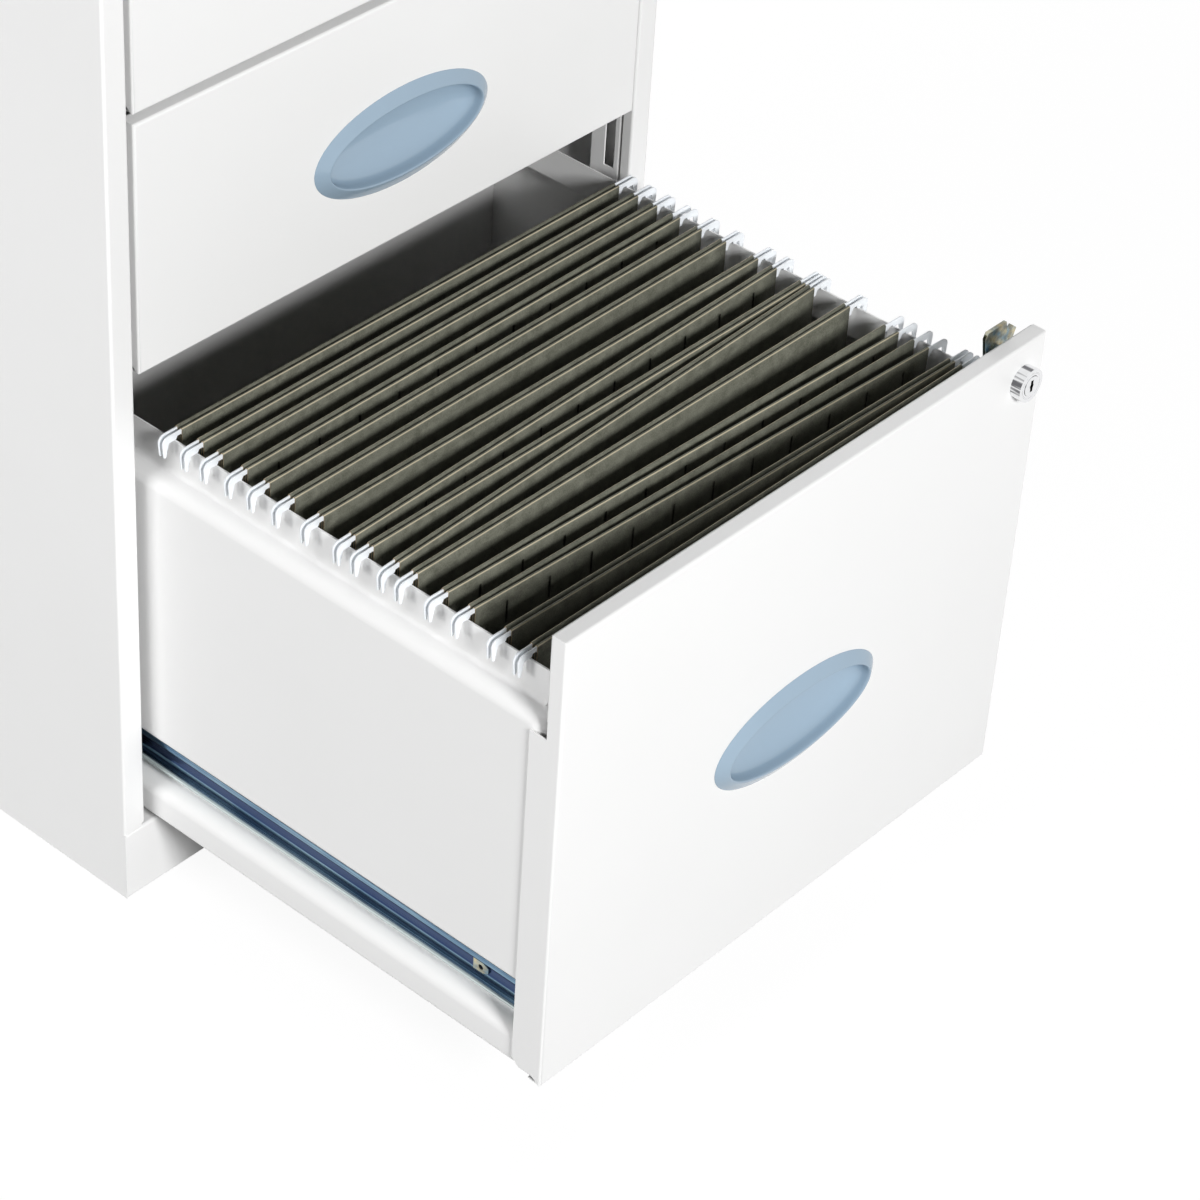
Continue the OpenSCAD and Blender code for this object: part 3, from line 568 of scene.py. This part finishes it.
# Hanging files: bars with hooked ends, and card folders hemmed over them
fileLook = {
    "above": 0.005, "barHeight": 0.0068, "barApart": 0.0015, "reach": 0.0100, "railBand": 0.001,
    "nose": 0.0048, "noseDrop": 0.0092, "tipIn": 0.0018, "tipRadius": 0.0011, "arc": 8, "edge": 0.0002,
    "slot": 0.006, "slotDrop": 0.001, "slotSlope": 0.0015,
    "notch": 0.002, "notchEnd": 0.0014, "notchFoot": 0.0006,
    "perMetre": 1000, "gap": 0.0035, "openGaps": {2: 0.011, 3: 0.010, 11: 0.006},
    "card": 0.0004, "clearance": 0.00015, "centre": -0.0022, "halfWidth": 0.1893, "column": 0.012,
    "hem": 0.013, "crestDrop": 0.0006, "crest": ((-0.6, 0), (0.35, 0), (0.75, 1)), "foot": 0.0007,
    "rows": (0.0006, 0.004, 0.0072, 0.011, 0.0148, 0.0186, 0.0225,
             0.030, 0.042, 0.060, 0.090, 0.130, 0.180),
    "slits": 5, "slitStep": 0.0332, "slitOffset": -0.001, "slitWidth": 0.0016, "slitClear": 1.5,
    "slitTop": 0.0072, "slitBottom": 0.0225, "slitReach": 0.98, "slitFiles": (0, 2, 3, 7, 11),
    "seed": 12, "bow": 0.0030, "bowShare": (-0.3, 1), "bowSpan": 2.2,
}
# Where each file's front fold lies at its left and right end, in whole millimetres, from the front file on
filePlaces = (
    (-522, -522), (-503, -513), (-476, -493), (-456, -470), (-433, -432),
    (-419, -404), (-399, -397), (-385, -374), (-360, -359), (-337, -333),
    (-317, -313), (-299, -295), (-279, -276), (-263, -260), (-245, -244),
)


# Thickness of the node's bars, from its first separate group of points along Y
def barThickness():
    places = sorted(v.co.y for v in frame["nodes"]["file_bars"].data.vertices)
    last = places[0]
    for y in places:
        if y - last > fileLook["barApart"]:
            break
        last = y
    return last - places[0]


# Each bar is (place at the middle of the drawer, skew), the front bar of each file first
def layBars(hem):
    look = fileLook
    bars = []
    for number, (left, right) in enumerate(filePlaces):
        rightGap = look["openGaps"].get(number, look["gap"])
        for leftShift, rightShift in ((0, 0), (look["gap"], rightGap)):
            leftEnd = left / look["perMetre"] + leftShift
            rightEnd = right / look["perMetre"] + rightShift
            skew = (rightEnd - leftEnd) / (2 * look["halfWidth"])
            bars.append(((leftEnd + rightEnd) / 2 - skew * look["centre"] + hem, skew))
    return bars


# Flat bar with a notch over the rail and a down-turned nose at each end
def barOutline(railIn, railTop):
    look = fileLook
    end = railIn + look["reach"]
    tab = railIn - look["slot"]
    top = railTop + look["above"]
    nose = look["nose"]
    tipRadius = look["tipRadius"]
    tip = railTop - look["noseDrop"] + tipRadius
    half = [(tab, top - look["barHeight"]), (tab, railTop - look["slotDrop"]),
            (tab + look["slotSlope"], railTop + look["notch"]),
            (railIn - look["notchEnd"], railTop + look["notch"]),
            (railIn - look["notchFoot"], railTop), (end - nose, railTop)]
    for k in range(look["arc"] + 1):
        a = math.pi * k / look["arc"]
        half.append((end - look["tipIn"] - tipRadius * math.cos(a), tip - tipRadius * math.sin(a)))
    for k in range(look["arc"] + 1):
        a = math.pi / 2 * k / look["arc"]
        half.append((end - nose * (1 - math.cos(a)), top - nose * (1 - math.sin(a))))
    return half + [(-x, z) for x, z in reversed(half)]


# One bar at each point, turned by the point's skew
def makeBarTree():
    tree, add, given, out = newGroup("barRow", "GeometryNodeTree", (
        ("Geometry", "NodeSocketGeometry"),
        ("Bar", "NodeSocketObject"),
        ("Finish", "NodeSocketMaterial"),
    ), (("Geometry", "NodeSocketGeometry"),))
    bar = add("GeometryNodeObjectInfo", {"Object": given["Bar"]})
    skew = add("GeometryNodeInputNamedAttribute", {"Name": "skew"}, data_type="FLOAT")
    turn = add("ShaderNodeCombineXYZ", {"Z": skew.outputs["Attribute"]})
    bars = add("GeometryNodeInstanceOnPoints", {
        "Points": given["Geometry"],
        "Instance": bar.outputs["Geometry"],
        "Rotation": turn.outputs["Vector"],
    })
    real = add("GeometryNodeRealizeInstances", {"Geometry": bars.outputs["Instances"]})
    done = add("GeometryNodeSetMaterial", {
        "Geometry": real.outputs["Geometry"],
        "Material": given["Finish"],
    })
    tree.links.new(done.outputs["Geometry"], out.inputs["Geometry"])
    return tree


def makeBars(bars):
    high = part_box("file_bars")[1]
    thick = bars["thick"]
    bm = bmesh.new()
    drawOut(bm, barOutline(bars["railIn"], high.z - fileLook["above"]), -thick / 2, thick / 2)
    bmesh.ops.recalc_face_normals(bm, faces=bm.faces)
    markSharp(bm)
    pattern = toObject("barPattern", bm, finishes["bar_steel"])
    breakEdges(pattern, fileLook["edge"])
    settle(pattern)
    places, skews = zip(*bars["laid"])
    points = bmesh.new()
    for place in places:
        points.verts.new((0, place, 0))
    row = toObject("file_bars_row", points, finishes["bar_steel"])
    row.data.attributes.new("skew", "FLOAT", "POINT").data.foreach_set("value", skews)
    runTree(row, makeBarTree(), {"Bar": pattern, "Finish": finishes["bar_steel"]})
    bpy.data.objects.remove(pattern)
    seat(row, "file_bars")


# Columns across a folder as (place, whether a slit starts there), with a narrow pair at each slit
def folderColumns():
    look = fileLook
    slits = [k * look["slitStep"] + look["slitOffset"] for k in range(-look["slits"], look["slits"] + 1)]
    clear = look["slitWidth"] * look["slitClear"]
    count = round(2 * look["halfWidth"] / look["column"])
    plain = [look["centre"] + look["halfWidth"] * (2 * k / count - 1) for k in range(count + 1)]
    marks = [(x, False) for x in plain if all(abs(x - s) > clear for s in slits)]
    for s in slits:
        marks += [(s - look["slitWidth"] / 2, True), (s + look["slitWidth"] / 2, False)]
    return sorted(marks)


# Section of a leaf from its hem over the bar down to the foot, and the rows that the slits cut
# Each row is (offset from the bar, height, share of the way down, crease)
def leafSection(way, hem, crest, foot):
    look = fileLook
    section = [(-way * hem, crest - look["hem"], 0, 0), (-way * hem, crest - look["crestDrop"], 0, 0)]
    section += [(way * hem * at, crest, 0, crease) for at, crease in look["crest"]]
    drops = [drop for drop in look["rows"] if crest - drop > foot]
    slitRows = [len(section) + i for i, drop in enumerate(drops)
                if look["slitTop"] <= drop < look["slitBottom"]]
    section += [(way * hem, crest - drop, drop / (crest - foot), 0) for drop in drops]
    section.append((way * hem, foot, 1, 0))
    return section, slitRows


# Points of a leaf, column by column; it hangs from its own bar and bows on its way to the fold at the foot
# An attribute is on inside the outer edges, so the rims there, the slits' cut edges among them, take a
# near-black painted shade
def leafPoints(bm, pair, way, bow, section, across):
    look = fileLook
    creaseLayer = bm.verts.layers.float["crease"]
    slitShadeLayer = bm.verts.layers.float["slitShade"]
    grid = []
    for x in across:
        front, rear = [place + skew * x for place, skew in pair]
        upper = front if way < 0 else rear
        lower = (front + rear) / 2 + way * look["foot"]
        belly = way * bow * math.cos(math.pi * x / (look["bowSpan"] * look["halfWidth"]))
        line = []
        for offset, z, share, crease in section:
            y = (upper + offset) * (1 - share) + lower * share + belly * math.sin(math.pi * share)
            vert = bm.verts.new((x, y, z))
            vert[creaseLayer] = crease
            vert[slitShadeLayer] = abs(x - look["centre"]) < look["halfWidth"] * look["slitReach"]
            line.append(vert)
        grid.append(line)
    return grid


def makeFolders(bars):
    look = fileLook
    low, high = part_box("file_folders")
    crest = high.z - look["card"] / 2
    foot = low.z + look["card"] / 2
    across, opens = zip(*folderColumns())
    cells = range(len(across) - 1)
    draw = random.Random(look["seed"])
    bm = bmesh.new()
    bm.verts.layers.float.new("crease")
    bm.verts.layers.float.new("slitShade")
    for number, pair in enumerate(zip(bars["laid"][::2], bars["laid"][1::2])):
        slitWay = -1 if number in look["slitFiles"] else 1
        feet = []
        for way in (-1, 1):
            bow = draw.uniform(*look["bowShare"]) * look["bow"]
            section, slitRows = leafSection(way, bars["hem"], crest, foot)
            grid = leafPoints(bm, pair, way, bow, section, across)
            for c in cells:
                for r in range(len(section) - 1):
                    if way == slitWay and opens[c] and r in slitRows:
                        continue
                    quad = (grid[c][r], grid[c][r + 1], grid[c + 1][r + 1], grid[c + 1][r])
                    bm.faces.new(quad if way < 0 else reversed(quad))
            feet.append([line[-1] for line in grid])
        for c in cells:
            bm.faces.new((feet[0][c], feet[1][c], feet[1][c + 1], feet[0][c + 1]))
    bmesh.ops.recalc_face_normals(bm, faces=bm.faces)
    for face in bm.faces:
        face.smooth = True
    piece = toObject("file_folders_card", bm, finishes["folder_card"])
    piece.data.materials.append(cutCard())
    wall = piece.modifiers.new("cardThickness", "SOLIDIFY")
    wall.thickness = look["card"]
    wall.offset = 0
    wall.material_offset_rim = 1
    seat(settle(piece), "file_folders")


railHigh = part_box("file_right_side")[1].z
railVerts = [v.co for v in frame["nodes"]["file_right_side"].data.vertices]
railIn = min(v.x for v in railVerts if v.z > railHigh - fileLook["railBand"])
barThick = barThickness()
fold = barThick / 2 + fileLook["clearance"] + fileLook["card"] / 2
fileBars = {"thick": barThick, "railIn": railIn, "hem": fold, "laid": layBars(fold)}
makeBars(fileBars)
makeFolders(fileBars)
print("hanging files made:", len(fileBars["laid"]) // 2)


# Floor, light and camera

# The floor and the room are pale where they are seen, directly or mirrored, and give less light than that
stageLook = {"size": 16, "drop": 0.0003, "glow": 0.92, "paint": 0.10, "bounce": 0.3, "ambient": 0.05}


def seenDirectly(add):
    path = add("ShaderNodeLightPath")
    first = add("ShaderNodeMath", {
        0: path.outputs["Is Camera Ray"], 1: path.outputs["Is Glossy Ray"],
    }, operation="MAXIMUM")
    return add("ShaderNodeMath", {
        0: first.outputs["Value"], 1: path.outputs["Is Transmission Ray"],
    }, operation="MAXIMUM").outputs["Value"]


def floorMaterial():
    material, add = newMaterial("paleFloor")
    glow = add("ShaderNodeEmission", {"Color": (1, 1, 1, 1), "Strength": stageLook["glow"]})
    faint = add("ShaderNodeBsdfDiffuse", {"Color": (*[stageLook["paint"]] * 3, 1)})
    both = add("ShaderNodeAddShader", {0: glow.outputs[0], 1: faint.outputs[0]})
    plain = add("ShaderNodeBsdfDiffuse", {"Color": (*[stageLook["bounce"]] * 3, 1)})
    mix = add("ShaderNodeMixShader", {"Fac": seenDirectly(add), 1: plain.outputs[0], 2: both.outputs[0]})
    add("ShaderNodeOutputMaterial", {"Surface": mix.outputs[0]})
    return material


def makeFloor():
    half = stageLook["size"] / 2
    bm = bmesh.new()
    corners = ((-half, -half), (half, -half), (half, half), (-half, half))
    bm.faces.new([bm.verts.new((x, y, -stageLook["drop"])) for x, y in corners])
    toObject("floor", bm, floorMaterial())


def makeWorld():
    world = bpy.data.worlds.new("studio")
    bpy.context.scene.world = world
    world.use_nodes = True
    world.node_tree.nodes.clear()
    add = wiring(world.node_tree)
    level = remap(add, seenDirectly(add), stageLook["ambient"], 1, 0, 1)
    light = add("ShaderNodeBackground", {"Color": (1, 1, 1, 1), "Strength": level})
    add("ShaderNodeOutputWorld", {"Surface": light.outputs[0]})


# Softboxes: the third one is for the sides that face away from the photograph's view
lampLook = {
    "frontSoftbox": {"at": (-1.19, -3.99, 2.22), "towards": (0, -0.4, 0.4), "size": 1.0, "power": 190},
    "leftSoftbox": {"at": (-2.80, 0.70, 0.85), "towards": (0, -0.3, 0.4), "size": 1.2, "power": 47},
    "rearRightSoftbox": {"at": (2.6, 2.4, 0.8), "towards": (0, 0, 0.4), "size": 1.4, "power": 125},
}


def makeLamps():
    for name, look in lampLook.items():
        lamp = bpy.data.lights.new(name, "AREA")
        lamp.shape = "SQUARE"
        lamp.size = look["size"]
        lamp.energy = look["power"]
        holder = bpy.data.objects.new(name, lamp)
        holder.location = look["at"]
        holder.visible_glossy = False
        way = Vector(look["towards"]) - Vector(look["at"])
        holder.rotation_mode = "QUATERNION"
        holder.rotation_quaternion = way.to_track_quat("-Z", "Y")
        bpy.context.scene.collection.objects.link(holder)


# Eye and direction were fitted to the photograph's edges; the picture is 1200 pixels wide
cameraLook = {"eye": (-1.4187, -1.5729, 1.6489), "azimuth": -50.548, "elevation": 38.062, "roll": 3.919,
              "focalPixels": 3862.8, "picturePixels": 1200, "sensor": 36, "farthest": 50}


def makeCamera():
    look = cameraLook
    data = bpy.data.cameras.new("photoCamera")
    data.sensor_width = look["sensor"]
    data.lens = look["focalPixels"] / look["picturePixels"] * look["sensor"]
    data.clip_end = look["farthest"]
    camera = bpy.data.objects.new("photoCamera", data)
    a = math.radians(look["azimuth"])
    e = math.radians(look["elevation"])
    back = Vector((math.sin(a) * math.cos(e), -math.cos(a) * math.cos(e), math.sin(e)))
    right = (-back).cross(Vector((0, 0, 1))).normalized()
    up = back.cross(right)
    turn = Matrix((right, up, back)).transposed()
    roll = Matrix.Rotation(math.radians(look["roll"]), 3, "Z")
    camera.rotation_mode = "QUATERNION"
    camera.rotation_quaternion = (turn @ roll).to_quaternion()
    camera.location = look["eye"]
    bpy.context.scene.collection.objects.link(camera)
    bpy.context.scene.camera = camera


makeFloor()
makeWorld()
makeLamps()
makeCamera()
bpy.context.scene.view_settings.view_transform = "Standard"
print("stage set")
